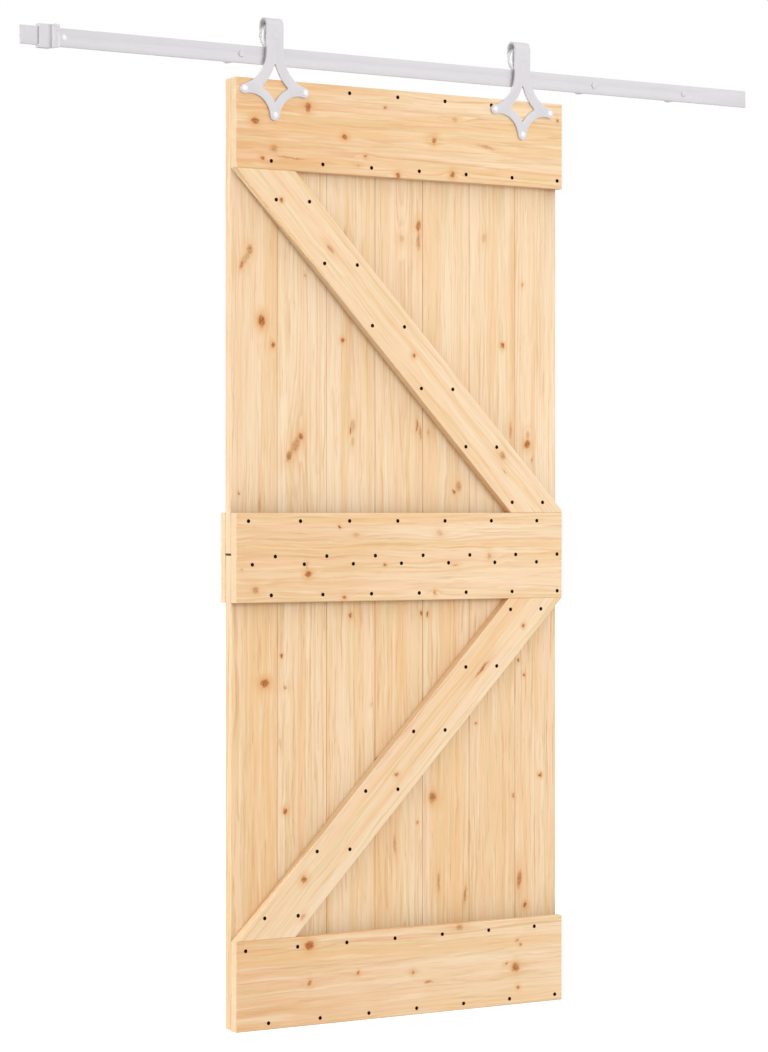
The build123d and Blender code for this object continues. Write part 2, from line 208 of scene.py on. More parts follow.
PINE = {
    "early": tone(254, 228, 193),
    "late": tone(218, 163, 108),
    "honey": tone(246, 200, 145),
    "blush": tone(254, 213, 181),
    "sage": tone(237, 207, 153),
    "cream": tone(255, 235, 201),
    "red": tone(220, 146, 100),
    "deep": tone(236, 182, 126),
    "knot": tone(198, 132, 72),
    "knot_heart": tone(178, 84, 34),
    "knot_speck": tone(98, 60, 32),
    "halo": tone(233, 176, 116),
    # painted shade: the near-black of the gap where an upper board meets a lower board
    "gap_shade": tone(38, 25, 16),
    "end": tone(251, 225, 188),
    # painted shade: a cool grey laid over the panel beside the rails and braces, for the shade that falls there
    "painted_shade": tone(188, 195, 200),
}


# Painted shade on the panel's front beside where another board lies on it, for the shade there: how it thins out
# sideways per metre, the depths from a board's middle between which it sets in, and its strength below, beside and on
# a ledge
shade_fall = -34
shade_from, shade_full = -0.008, -0.011
side_shade = 0.46
ledge_shade = 0.8


def pine(name, middle, lengthways, heart, knots, warmth, seed, deepens=0, figure=0.5, ring=0.0058,
         heart_size=None, lines=0.6, seams=(), cut_end=None):
    """Planed pine. Growth rings lie round a heart line beside the board and bend round the knots.

    lengthways is the angle of the grain from upright and heart the place of the heart line across
    and through the board. knots are (x, z, half width, half length, depth of colour, lean).
    deepens is how much the tone deepens towards the board's near end, figure how strong the rings
    are, ring how wide, heart_size how far the darker heartwood reaches and lines how strong the fine
    grain is. seams are the lines (x share, z share, distance, depth) along which another board lies on
    this one and painted shade darkens it beside them, and cut_end the place along the board of the end
    that meets the other half, where a near-black line is painted as the shade in the gap.
    """
    wood = Finish(name)
    at = wood.place(middle, (0, lengthways, 0))
    drift = wood.noise(wood.vector("ADD", at, (seed, 0, seed * 0.7)), (2.2, 2.2, 0.9), 2, output="Color")
    drift = wood.vector("SUBTRACT", drift, (0.5, 0.5, 0.5))
    bent = wood.vector("MULTIPLY_ADD", drift, (0.034, 0.03, 0), at)
    across, through, along = wood.axes(bent)
    lean = 0.012 + 0.02 * math.sin(seed * 7.1)
    side = across - heart[0] + along * (lean * 0.6)
    deep = through - heart[1] + along * lean
    reach = (side * side + deep * deep) ** 0.5
    flat = wood.vector("MULTIPLY", at, (1, 0, 1))
    wobble = wood.noise(wood.vector("ADD", at, (seed, 0, 0)), (95, 0, 62), 3, 0.6, output="Color")
    wobble = wood.vector("SUBTRACT", wobble, (0.5, 0.5, 0.5))
    rough_flat = wood.vector("MULTIPLY_ADD", wobble, (0.01, 0, 0.015), flat)
    swell = core = halo = None
    for x, z, half_width, half_length, depth, tilt in knots:
        own = wood.node("ShaderNodeMapping", {"vector_type": "TEXTURE"},
                        {"Vector": rough_flat, "Location": (x, 0, z), "Rotation": (0, tilt, 0),
                         "Scale": (half_width, 1, half_length)})
        distance = wood.vector("LENGTH", own, output="Value")
        own_core = distance.step(1.65, 0.3, 0, depth)
        own_halo = distance.step(4, 0.5, 0, depth)
        core = own_core if core is None else core.most(own_core)
        halo = own_halo if halo is None else halo.most(own_halo)
        eddy_span = (0.55 / half_width, 0, 0.2 / half_length)
        eddy_start = (-x * eddy_span[0], 0, -z * eddy_span[2])
        eddy = wood.vector("LENGTH", wood.vector("MULTIPLY_ADD", flat, eddy_span, eddy_start), output="Value")
        lift = wood.math("EXPONENT", eddy * eddy * -1) * (half_width * 150)
        swell = lift if swell is None else swell + lift
    ripple = wood.noise(at, (46, 46, 2.6), 3, 0.55)
    phase = reach / (ring * (1 + 0.25 * math.sin(seed * 3.3))) + ripple * 1.9
    if swell is not None:
        phase = phase + swell
    year = wood.math("FLOOR", phase)
    share = wood.math("FRACT", phase)
    strong = wood.node("ShaderNodeTexWhiteNoise", {"noise_dimensions": "1D"}, {"W": year + seed})
    late = share.step(0.2, 0.84) * (1 - share.step(0.86, 1)) * (strong * strong * 0.9 + 0.1)
    # Noises drawn out along the grain, from fine fibres to broad clouds
    fibre = wood.noise(at, (640, 640, 9), 3, 0.65)
    own_place = wood.vector("ADD", at, (seed, seed * 1.3, seed * 0.7))
    waver = wood.vector("SUBTRACT", wood.noise(own_place, (26, 26, 7), 2, output="Color"), (0.5, 0.5, 0.5))
    wavy = wood.vector("MULTIPLY_ADD", waver, (0.016, 0.016, 0), own_place)
    line = wood.noise(wavy, (190, 190, 4.5), 3, 0.6)
    pink, green, pale = wood.axes(wood.noise(wavy, (95, 95, 2.6), 2, 0.6, output="Color"))
    streak = wood.noise(wood.vector("ADD", wavy, (0, seed, seed)), (75, 75, 1.5), 3, 0.6)
    band = wood.noise(own_place, (27, 27, 0.55), 3, 0.6)
    cloud = wood.noise(wood.vector("ADD", at, (seed * 1.7, 0, seed)), (10, 10, 1.2), 2)
    # Tones laid over each other, from growth rings to the finest lines
    colour = wood.mix(PINE["early"], PINE["late"], late * figure)
    colour = wood.mix(colour, PINE["honey"], cloud.step(0.34, 0.68) * (0.1 + warmth * 0.55) + warmth * 0.2)
    if deepens:
        colour = wood.mix(colour, PINE["deep"], along.step(0.3, -0.45) * deepens)
    edge = heart_size or 0.0455 + 0.02 * math.sin(seed * 5)
    heartwood = reach.step(edge + 0.0015, edge - 0.0015)
    colour = wood.mix(colour, PINE["honey"], heartwood * (0.2 + warmth * 0.5))
    colour = wood.mix(colour, PINE["honey"], band.step(0.5, 0.64) * 0.7)
    colour = wood.mix(colour, PINE["early"], band.step(0.47, 0.33) * 0.6)
    colour = wood.mix(colour, PINE["blush"], pink.step(0.48, 0.7) * 0.5)
    colour = wood.mix(colour, PINE["sage"], green.step(0.48, 0.7) * 0.7)
    colour = wood.mix(colour, PINE["cream"], pale.step(0.5, 0.72) * 0.5)
    colour = wood.mix(colour, PINE["late"], streak.step(0.53, 0.78) * 0.45)
    colour = wood.mix(colour, PINE["red"], streak.step(0.66, 0.84) * cloud.step(0.42, 0.62) * 0.5)
    colour = wood.mix(colour, PINE["late"], line.step(0.5, 0.78) * lines)
    colour = wood.mix(colour, PINE["cream"], line.step(0.44, 0.22) * (lines * 0.6))
    colour = wood.mix(colour, PINE["late"], (fibre - 0.5).most(0) * 0.9)
    mark = fibre * 0.4 + late * 0.6
    if core is not None:
        grit = wood.noise(rough_flat, (300, 0, 200), 3, 0.7)
        colour = wood.mix(colour, PINE["halo"], halo * (halo * 0.5 + 0.42))
        colour = wood.mix(colour, PINE["knot"], core.step(0.05, 0.75) * (0.45 + grit * 0.8))
        colour = wood.mix(colour, PINE["knot_heart"], core.step(0.4, 0.9) * grit.step(0.3, 0.58) * 0.9)
        colour = wood.mix(colour, PINE["knot_speck"], core.step(0.2, 0.6) * grit.step(0.52, 0.68) * 0.7)
        mark = mark - core * 0.5 + core * grit * 0.5
    # Painted shade on the panel's front along the rails and braces that lie on it, stronger above a rail
    if seams:
        plain_across, plain_through, plain_along = wood.axes(at)
        seam_shade = None
        for x_share, z_share, distance, depth in seams:
            gap = wood.math("ABSOLUTE", plain_across * x_share + plain_along * z_share - distance)
            own_shade = wood.math("EXPONENT", gap * shade_fall) * depth
            seam_shade = own_shade if seam_shade is None else seam_shade.most(own_shade)
        colour = wood.mix(colour, PINE["painted_shade"], seam_shade * plain_through.step(shade_from, shade_full), "MULTIPLY")
    # Painted shade: a near-black line along the end that meets the other half, for the shade in the gap between them
    if cut_end is not None:
        _, _, plain_along = wood.axes(at)
        off = wood.math("ABSOLUTE", plain_along - cut_end)
        colour = wood.mix(colour, PINE["gap_shade"], off.step(0.0026, 0.0014) * 0.95)
    facing = wood.node("ShaderNodeNewGeometry", output="Normal")
    grain = (math.sin(lengthways), 0, math.cos(lengthways))
    cut = wood.math("ABSOLUTE", wood.vector("DOT_PRODUCT", facing, grain, output="Value")).step(0.6, 0.95)
    colour = wood.mix(colour, PINE["end"], cut * 0.65)
    rough = 0.5 + fibre * 0.16 - late * 0.06 + cut * 0.2
    return wood.surface(Base_Color=colour, Roughness=rough, Specular_IOR_Level=0.3,
                        Normal=wood.bump(mark, 0.00028, 0.55))


def powder_coat(name, shade, gloss):
    """Baked powder paint: a faint orange peel, dust in its roughness and slightly thin patches."""
    coat = Finish(name)
    at = coat.place()
    peel = coat.noise(at, 900, 2, 0.6)
    speck = coat.noise(at, 2600, 1)
    film = coat.noise(at, (9, 14, 22), 3)
    colour = coat.mix(tone(shade, shade - 3, shade), tone(shade - 4, shade - 7, shade - 3), film.step(0.4, 0.72) * 0.5)
    colour = coat.mix(colour, tone(shade - 16, shade - 18, shade - 15), speck.step(0.62, 0.78) * 0.3)
    rough = gloss + film * 0.1 + speck * 0.05
    return coat.surface(Base_Color=colour, Roughness=rough, Specular_IOR_Level=0.35,
                        Normal=coat.bump(peel * 0.8 + speck * 0.2, 0.00008, 0.6))


def zinc_plate():
    """Zinc-plated steel: a brushed, slightly mottled metal."""
    zinc = Finish("zinc plate")
    at = zinc.place()
    mottle = zinc.noise(at, 260, 3, 0.6)
    brush = zinc.noise(at, (60, 900, 900), 2)
    colour = zinc.mix(tone(196, 199, 204), tone(158, 162, 170), mottle.step(0.35, 0.7))
    colour = zinc.mix(colour, tone(214, 216, 219), brush.step(0.5, 0.8) * 0.5)
    return zinc.surface(Base_Color=colour, Metallic=0.85, Roughness=0.3 + mottle * 0.2,
                        Normal=zinc.bump(brush, 0.00005, 0.4))


def bronze():
    """Sintered bronze of the wheel's bush."""
    metal = Finish("sintered bronze")
    at = metal.place()
    grain = metal.noise(at, 1900, 2)
    film = metal.noise(at, 120, 2)
    colour = metal.mix(tone(176, 132, 74), tone(122, 88, 48), grain.step(0.45, 0.7) * 0.6 + film * 0.2)
    return metal.surface(Base_Color=colour, Metallic=0.9, Roughness=0.38 + grain * 0.2,
                         Normal=metal.bump(grain, 0.00006, 0.5))


def skin(name, tones, cloud, grit, rough, specular, bump):
    """A matt or satin skin: clouds of two tones that also vary the gloss, over a fine grit.

    tones are two colours and the span of the clouds over which they mix, cloud and grit a noise's
    scale and detail, rough a roughness and what the clouds add to it, bump a height and a strength.
    """
    made = Finish(name)
    at = made.place()
    haze = made.noise(at, *cloud)
    colour = made.mix(tones[0], tones[1], haze.step(*tones[2]))
    return made.surface(Base_Color=colour, Roughness=rough[0] + haze * rough[1], Specular_IOR_Level=specular,
                        Normal=made.bump(made.noise(at, *grit), *bump))


def piece(name, mesh, body, nodes=(), finish=None, sharp=35):
    """Puts a finished mesh in the scene on its body, in place of CAD nodes if any are named."""
    made = bpy.data.objects.new(name, mesh)
    bpy.context.scene.collection.objects.link(made)
    mesh.polygons.foreach_set("use_smooth", [True] * len(mesh.polygons))
    mesh.set_sharp_from_angle(angle=math.radians(sharp))
    if finish is not None:
        mesh.materials.clear()
        mesh.materials.append(finish)
    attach(made, body)
    if nodes:
        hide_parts(*nodes)
    return made


def settled(mesh, *modifiers):
    """The mesh after its modifiers, as a plain mesh. Each modifier is (type, settings)."""
    stand = bpy.data.objects.new("bench", mesh)
    bpy.context.scene.collection.objects.link(stand)
    mesh.polygons.foreach_set("use_smooth", [True] * len(mesh.polygons))
    for number, (kind, settings) in enumerate(modifiers):
        tool = stand.modifiers.new(f"step_{number}", kind)
        for setting, value in settings.items():
            setattr(tool, setting, value)
    graph = bpy.context.evaluated_depsgraph_get()
    result = bpy.data.meshes.new_from_object(stand.evaluated_get(graph))
    bpy.data.objects.remove(stand)
    return result


def rounded_edges(width, segments=2, angle=30):
    return ("BEVEL", {"width": width, "segments": segments, "limit_method": "ANGLE",
                      "angle_limit": math.radians(angle), "harden_normals": False})


# Flat faces keep an even light up to their rounded edges
even_normals = ("WEIGHTED_NORMAL", {"mode": "FACE_AREA", "weight": 100, "keep_sharp": True})


def solid_of(node):
    """A merged copy of a CAD node's mesh with its flat faces whole again."""
    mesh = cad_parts[node].data.copy()
    mesh.name = f"{node}_copy"
    work = bmesh.new()
    work.from_mesh(mesh)
    bmesh.ops.remove_doubles(work, verts=work.verts, dist=1e-6)
    bmesh.ops.dissolve_limit(work, angle_limit=math.radians(0.5), verts=work.verts, edges=work.edges)
    work.to_mesh(mesh)
    work.free()
    return mesh


def turned(profile, centre_x, centre_z, steps=72):
    """A closed lathe form about a front-to-back line; the profile is (radius, y) pairs."""
    work = bmesh.new()
    rings = []
    for step in range(steps):
        angle = 2 * math.pi * step / steps
        ring = []
        for radius, y in profile:
            ring.append(work.verts.new((centre_x + radius * math.cos(angle), y, centre_z + radius * math.sin(angle))))
        rings.append(ring)
    count = len(profile)
    for step in range(steps):
        ring, after = rings[step], rings[(step + 1) % steps]
        for row in range(count):
            below = (row + 1) % count
            work.faces.new((ring[row], after[row], after[below], ring[below]))
    bmesh.ops.remove_doubles(work, verts=work.verts, dist=1e-7)
    bmesh.ops.dissolve_degenerate(work, dist=1e-7, edges=work.edges)
    bmesh.ops.recalc_face_normals(work, faces=work.faces)
    mesh = bpy.data.meshes.new("turned")
    work.to_mesh(mesh)
    work.free()
    return mesh


def joined(*meshes):
    """Several plain meshes as one, with their faces' materials kept."""
    work = bmesh.new()
    for mesh in meshes:
        work.from_mesh(mesh)
    result = bpy.data.meshes.new("joined")
    work.to_mesh(result)
    work.free()
    return result


# Wood: where each piece's grain runs, and its knots as pixels of the view, half sizes across and
# along the grain in mm, depth of colour, and lean in degrees
low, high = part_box("top_rail")
door_left, door_right, door_front, door_top = low.x, high.x, low.y, high.z
panel_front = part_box("upper_board_1")[0].y
brace_cut = 0.155
brace_overrun = {"upper_brace": 0.006, "lower_brace": 0}

PANEL_KNOTS = (
    (261.7, 320.9, 9, 12, 1.0, 0), (273, 345, 4.5, 6.5, 0.85, 0), (300.8, 436.5, 6, 8, 0.85, 0),
    (295.5, 445, 11, 26, 0.5, 30), (289.3, 456, 7, 14, 0.65, 24), (352.8, 425.5, 8, 17, 0.4, 0),
    (350.3, 431, 2.5, 7, 0.75, 0), (352.8, 442, 5, 14, 0.35, 0), (417, 425, 4, 15, 0.6, 4),
    (420.5, 433, 5, 20, 0.5, -4), (428.3, 433, 4, 8, 0.4, 0), (454, 491.3, 4, 4.5, 0.8, 0),
    (458.5, 486, 9, 14, 0.5, 0), (502.6, 345.8, 4.5, 5.5, 0.9, 0), (510.6, 431, 4, 18, 0.5, 0),
    (527, 444.2, 8, 9, 0.85, 0), (527.7, 435, 8, 9, 0.4, 0), (532, 460, 2, 8, 0.6, 4),
    (249.9, 249.5, 9, 13, 0.55, 0), (246, 257, 9, 22, 0.42, 35), (241.8, 264.4, 6, 11, 0.62, 20),
    (401.6, 238.9, 8, 9, 0.35, 0), (418.4, 226, 7, 13, 0.68, 0), (418.4, 241, 6, 25, 0.52, 0),
    (350.3, 616, 4, 5, 0.8, 0), (421.5, 613.5, 3.5, 5, 0.85, 0), (427.5, 613.7, 3, 6, 0.75, 0),
    (238.5, 493, 2.5, 3, 0.7, 0), (259.5, 505, 4, 25, 0.4, 3), (264.7, 683.2, 10, 9.5, 1.0, 0),
    (281.5, 655.6, 3.2, 3.5, 0.9, 0), (285.3, 687.6, 6, 6, 0.5, 0), (280.2, 743, 5, 15, 0.3, -12),
    (475.8, 723.5, 3, 3, 0.75, 0), (371.4, 704.8, 4, 6, 0.3, 0), (432.6, 797, 11, 13, 0.7, 0),
    (438.5, 882, 5, 24, 0.5, 0), (540, 774.4, 4.5, 4.5, 0.95, 0), (513.5, 795.2, 4, 7, 0.5, 0),
    (519.2, 879.3, 7, 21, 0.62, 8), (525, 904.9, 5, 6, 0.9, 0), (465, 894.8, 4, 22, 0.55, 6),
    (484, 238, 8, 11, 0.35, 20), (342.5, 340, 4.5, 5, 0.9, 0), (522.5, 285, 4, 5, 0.45, 0),
    (305, 275, 3, 5, 0.45, 0), (345, 235, 4, 20, 0.4, 0), (523.7, 675, 3.5, 4, 0.7, 0),
    (518, 659.5, 3.5, 5, 0.7, 0), (285.3, 811, 5, 7, 0.85, 0), (376.5, 760, 3, 6, 0.6, 0),
    (417.4, 822.6, 2.5, 3, 0.8, 0), (394.5, 845, 5, 24, 0.45, 0), (386, 813, 4, 9, 0.4, 8),
)
RAIL_KNOTS = {
    "top_rail": ((254.9, 120.3, 7, 9, 0.95, 0), (308, 107.5, 10, 8, 0.8, 0), (262.3, 158, 5, 6, 0.8, 0),
                 (274, 148.5, 10, 11, 0.5, 0), (291, 158, 2.5, 42, 0.5, 3), (365.5, 156, 4, 5, 0.65, 0),
                 (358.7, 165.5, 3, 5, 0.35, 0), (398, 175.5, 6, 6, 0.9, 0), (455, 120, 6, 8, 0.4, 0),
                 (486, 147, 4, 28, 0.45, 8), (557.5, 121, 4, 4, 0.7, 0),
                 (344.5, 137, 5, 7, 0.95, 0), (434, 141, 8, 7, 0.7, 20), (452.5, 174.5, 7, 7, 0.85, 0),
                 (385, 107.5, 3, 3.5, 0.7, 0)),
    "middle_rail_front": ((339.8, 526.8, 3.2, 3.5, 0.85, 0), (356, 535, 5, 9, 0.4, 0), (308.5, 574, 7, 8, 0.85, 0),
                          (307, 566, 10, 4, 0.4, 0), (255.5, 590.5, 8, 9, 0.5, 0), (344.4, 597, 4, 5, 0.75, 0),
                          (384.9, 565, 3, 3.5, 0.75, 0), (241.8, 570, 5, 7, 0.35, 0),
                          (439.5, 533, 9, 10, 0.35, 30), (489.5, 556, 8, 6, 0.45, 0), (435, 592.6, 5, 4, 0.6, 0),
                          (455.5, 565, 3, 8, 0.45, 0)),
    "bottom_rail": ((309.5, 945.4, 9, 10, 0.9, 0), (309.5, 983, 7, 5, 0.6, 0), (358.4, 972.8, 4, 5, 0.65, 0),
                    (459.5, 927.1, 7, 12, 0.5, 0), (517, 940.4, 3.5, 4, 0.6, 0), (520.3, 944.5, 3.5, 4, 0.55, 0),
                    (506.5, 963.6, 3.5, 4, 0.6, 0), (515.6, 967.2, 10, 10, 0.75, 0), (413, 972.2, 5, 4.5, 0.6, 0),
                    (429, 981.9, 3, 15, 0.5, 5), (518, 987.1, 5, 5, 0.65, 0)),
    "upper_brace": ((281.3, 199.8, 4, 4, 0.85, 0), (330.7, 249, 5, 14, 0.5, 0), (502.6, 455.5, 8, 10, 0.55, 0),
                    (504.5, 471.6, 2, 6, 0.5, 0), (414, 355.5, 5, 5, 0.75, 0)),
    "lower_brace": ((396.5, 774.5, 5, 5, 0.65, 0), (482, 669, 4, 26, 0.65, 0), (523.5, 625.5, 4, 5, 0.8, 0),
                    (304, 879.5, 7, 8, 0.75, 0), (303, 917, 5, 8, 0.45, 0)),
    "middle_rail_back": ((300, 540, 7, 10, 0.7, 0), (430, 570, 6, 9, 0.8, 0), (520, 545, 5, 9, 0.6, 0)),
}


def knots_of(node, marks, face_y, turn):
    """A piece's own knots, in metres about its middle, across and along its grain."""
    low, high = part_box(node)
    middle = (low + high) / 2
    own = []
    for px, py, half_width, half_length, depth, tilt in marks:
        x, z = spot(px, py, face_y)
        if low.x < x < high.x and low.z < z < high.z:
            x, z = x - middle.x, z - middle.z
            across = x * math.cos(turn) - z * math.sin(turn)
            along = x * math.sin(turn) + z * math.cos(turn)
            own.append((across, along, half_width / 1000, half_length / 1000, depth, math.radians(tilt)))
    return own


def shade_lines(node, rails, brace, rising):
    """Where rails and a brace lie on a board, as lines about the board's middle, along which painted shade is laid."""
    low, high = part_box(node)
    middle = (low + high) / 2
    lines = [(0, 1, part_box(rail)[end].z - middle.z, ledge_shade if end else side_shade) for rail, end in rails]
    low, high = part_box(brace)
    width = high.x - low.x - brace_cut + brace_overrun[brace]
    run = Vector((width, 0, high.z - low.z if rising else low.z - high.z)).normalized()
    start = Vector((low.x, 0, low.z if rising else high.z)) - middle
    for shift in (0, brace_cut):
        lines.append((-run.z, run.x, (start.x + shift) * -run.z + start.z * run.x, side_shade))
    return lines


def sawn_end(node, top):
    """Place along a board, about its middle, of the end that meets the other half."""
    low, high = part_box(node)
    return (high.z - low.z) / 2 * (1 if top else -1)


def dress_wood(node, turn, marks, face_y, heart, warmth, seed, **looks):
    low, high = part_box(node)
    knots = knots_of(node, marks, face_y, turn)
    finish = pine(f"pine {node}", (low + high) / 2, turn, heart, knots, warmth, seed, **looks)
    mesh = settled(solid_of(node), rounded_edges(wood_edge, 2, 25), even_normals)
    piece(f"{node}_wood", mesh, "door_leaf", (node,), finish)


def dress_leaf():
    # Rails at each half's ends (0 for its lower edge, 1 for its upper), whether the brace rises, warmths
    halves = {
        "upper": ((("top_rail", 0), ("middle_rail_front", 1)), False, (0.42, 0, 0, 0.1, 0.5, 0.12, 0)),
        "lower": ((("middle_rail_front", 0), ("bottom_rail", 1)), True, (0.95, 0.4, 0.85, 0.75, 1, 0.8, 1)),
    }
    for number in range(1, 8):
        for row, (half, (rails, rising, warmths)) in enumerate(halves.items()):
            node = f"{half}_board_{number}"
            seed = number * 1.37 + row * 5.1
            heart = (0.06 * math.sin(number * 2.3 + row), (0.035 + 0.03 * math.sin(seed)) * (-1) ** number)
            # seams carry painted shade beside the rails and brace; cut_end places a painted dark line of shade at the
            # joint between the halves
            dress_wood(node, 0, PANEL_KNOTS, panel_front, heart, warmths[number - 1], seed, lines=0.5 + 0.25 * row,
                       seams=shade_lines(node, rails, f"{half}_brace", rising), cut_end=sawn_end(node, rising))
    rails = (
        ("top_rail", (0.02, 0.06), 0.28, 3.1, {"deepens": 1, "figure": 0.9, "ring": 0.0095, "lines": 0.45}),
        ("middle_rail_front", (0.05, 0.03), 0.04, 8.2,
         {"deepens": 0.6, "figure": 0.5, "ring": 0.009, "heart_size": 0.092, "lines": 0.5}),
        ("bottom_rail", (0.01, 0.045), 0.28, 12.4, {"deepens": 0.7, "figure": 0.75, "ring": 0.009, "lines": 0.45}),
        ("middle_rail_back", (0.03, -0.05), 0.5, 15.9, {}),
    )
    for node, heart, warmth, seed, looks in rails:
        dress_wood(node, math.pi / 2, RAIL_KNOTS[node], door_front, heart, warmth, seed, **looks)
    for node, rising, heart, warmth, seed in (("upper_brace", False, (0.02, 0.05), 0.48, 18.3),
                                              ("lower_brace", True, (-0.02, 0.06), 0.35, 21.7)):
        low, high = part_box(node)
        slant = math.atan2(high.x - low.x - brace_cut + brace_overrun[node], high.z - low.z)
        dress_wood(node, slant if rising else math.pi - slant, RAIL_KNOTS[node], door_front, heart, warmth, seed,
                   figure=0.35, lines=0.35)


def outline_arc(centre, start, end, steps):
    """Points of the short arc about a centre, without its end."""
    first = math.atan2(start.y - centre.y, start.x - centre.x)
    turn = math.atan2(end.y - centre.y, end.x - centre.x) - first
    turn = (turn + math.pi) % (2 * math.pi) - math.pi
    radius = (start - centre).length
    points = []
    for step in range(steps):
        angle = first + turn * step / steps
        points.append(Vector((centre.x + radius * math.cos(angle), centre.y + radius * math.sin(angle))))
    return points


def circle_points(centre, radius, steps):
    return [Vector((centre.x + radius * math.cos(2 * math.pi * n / steps),
                    centre.y + radius * math.sin(2 * math.pi * n / steps))) for n in range(steps)]


def right_crossing(centre_a, radius_a, centre_b, radius_b):
    span = centre_b - centre_a
    along = (radius_a**2 - radius_b**2 + span.length_squared) / (2 * span.length)
    aside_by = math.sqrt(radius_a**2 - along**2)
    direction = span.normalized()
    normal = Vector((-direction.y, direction.x))
    base = centre_a + direction * along
    return max(base + normal * aside_by, base - normal * aside_by, key=lambda point: point.x)


def mirrored(points):
    return [Vector((-point.x, point.y)) for point in points]


def strap_loops(arch_rise, axle_rise, back_length):
    """Edges of the unbent strap: star plate, opening, holes and the leg that folds over the wheel."""
    half = strap_width / 2
    side_tip = Vector((side_bolt_reach, 0))
    bottom_tip = Vector((0, -bottom_bolt_drop))
    upper_span = upper_flare_radius + side_tip_radius
    flare_x = half + upper_flare_radius
    upper = Vector((flare_x, math.sqrt(upper_span**2 - (flare_x - side_bolt_reach) ** 2)))
    lower = right_crossing(side_tip, side_tip_radius + lower_flare_radius,
                           bottom_tip, bottom_tip_radius + lower_flare_radius)
    neck = Vector((half, upper.y))
    side_top = side_tip + (upper - side_tip).normalized() * side_tip_radius
    side_end = side_tip + Vector((side_tip_radius, 0))
    side_low = side_tip + (lower - side_tip).normalized() * side_tip_radius
    bottom_right = bottom_tip + (lower - bottom_tip).normalized() * bottom_tip_radius
    bottom_end = bottom_tip - Vector((0, bottom_tip_radius))
    fold = math.pi * (track_gap / 2 + strap_thickness / 2)
    back_axle = Vector((0, arch_rise + fold + back_length))
    right = outline_arc(back_axle, back_axle + Vector((0, half)), back_axle + Vector((half, 0)), 14)
    right += [back_axle + Vector((half, 0))]
    right += outline_arc(upper, neck, side_top, 26)
    right += outline_arc(side_tip, side_top, side_end, 8)
    right += outline_arc(side_tip, side_end, side_low, 8)
    right += outline_arc(lower, side_low, bottom_right, 22)
    right += outline_arc(bottom_tip, bottom_right, bottom_end, 8) + [bottom_end]
    outer = right + mirrored(right[1:-1])[::-1]
    upper_inner = upper_flare_radius + upper_band
    lower_inner = lower_flare_radius + lower_band
    apex = Vector((0, upper.y - math.sqrt(upper_inner**2 - upper.x**2)))
    base = Vector((0, lower.y + math.sqrt(lower_inner**2 - lower.x**2)))
    corner = right_crossing(Vector((-upper.x, upper.y)), upper_inner, Vector((-lower.x, lower.y)), lower_inner)
    corner.x = -corner.x
    flank = [apex + Vector((0, -opening_corner * 2.9))] + outline_arc(upper, apex, corner, 16)[2:]
    flank += outline_arc(lower, corner, base, 16)[1:-1] + [base + Vector((0, opening_corner * 0.9))]
    opening = flank + mirrored(flank[1:-1])[::-1]
    holes = [circle_points(Vector((x, y)), bolt_hole_radius, 24)
             for x, y in ((-side_bolt_reach, 0), (side_bolt_reach, 0), (0, -bottom_bolt_drop))]
    axles = [circle_points(Vector((0, axle_rise)), axle_hole_radius, 28),
             circle_points(back_axle, axle_hole_radius, 28)]
    return [outer, opening, *holes, *axles], fold


track_low, track_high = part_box("track")
track_middle = (track_low.y + track_high.y) / 2
track_gap = 0.022
side_bolt_z = door_top - side_bolt_drop


def bent_strap(side):
    """One strap hanger, cut flat, given its thickness and bent over the wheel."""
    low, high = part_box(f"hanger_{side}")
    wheel_low, wheel_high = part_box(f"wheel_{side}")
    middle_x = (low.x + high.x) / 2
    axle_z = (wheel_low.z + wheel_high.z) / 2
    mean_radius = track_gap / 2 + strap_thickness / 2
    arch_z = high.z - track_gap / 2 - strap_thickness
    arch_rise = arch_z - side_bolt_z
    loops, fold = strap_loops(arch_rise, axle_z - side_bolt_z, arch_z - axle_z)
    work = bmesh.new()
    edges = []
    for loop in loops:
        ring = [work.verts.new((point.x, 0, point.y)) for point in loop]
        for number, vert in enumerate(ring):
            edges.append(work.edges.new((vert, ring[(number + 1) % len(ring)])))
    bmesh.ops.triangle_fill(work, use_beauty=True, edges=edges, normal=(0, -1, 0))
    pushed = bmesh.ops.extrude_face_region(work, geom=work.faces[:], use_keep_orig=True)
    for part in pushed["geom"]:
        if isinstance(part, bmesh.types.BMVert):
            part.co.y += strap_thickness
    bmesh.ops.recalc_face_normals(work, faces=work.faces)
    for step in range(33):
        rise = arch_rise + fold * step / 32
        bmesh.ops.bisect_plane(work, geom=work.verts[:] + work.edges[:] + work.faces[:],
                               plane_co=(0, 0, rise), plane_no=(0, 0, 1))
    for vert in work.verts:
        u, depth, rise = vert.co
        radius = track_gap / 2 + strap_thickness - depth
        over = rise - arch_rise
        if over <= 0:
            vert.co = (middle_x + u, track_middle - radius, side_bolt_z + rise)
        elif over < fold:
            angle = over / mean_radius
            vert.co = (middle_x + u, track_middle - radius * math.cos(angle), arch_z + radius * math.sin(angle))
        else:
            vert.co = (middle_x + u, track_middle + radius, arch_z - (over - fold))
    bmesh.ops.dissolve_limit(work, angle_limit=math.radians(0.5), verts=work.verts, edges=work.edges)
    mesh = bpy.data.meshes.new(f"strap_{side}")
    work.to_mesh(mesh)
    work.free()
    return settled(mesh, rounded_edges(strap_edge, 2, 40))


def wheel_profile(front, back):
    """Section of a grooved wheel with soft rims and a shallow dish in both faces."""
    middle = (front + back) / 2
    groove = 0.0035
    mouth = 0.005
    rim = wheel_radius
    half = [
        (bush_radius, front), (0.0125, front), (0.0133, front + 0.0012), (0.0218, front + 0.0012),
        (0.0226, front), (rim - 0.0007, front), (rim - 0.0002, front + 0.0002), (rim, front + 0.0007),
        (rim, middle - mouth - 0.0004), (rim - 0.0004, middle - mouth + 0.0001),
        (rolling_radius + 0.0004, middle - groove - 0.0002), (rolling_radius, middle - groove + 0.0004),
    ]
    return half + [(radius, 2 * middle - y) for radius, y in reversed(half)]


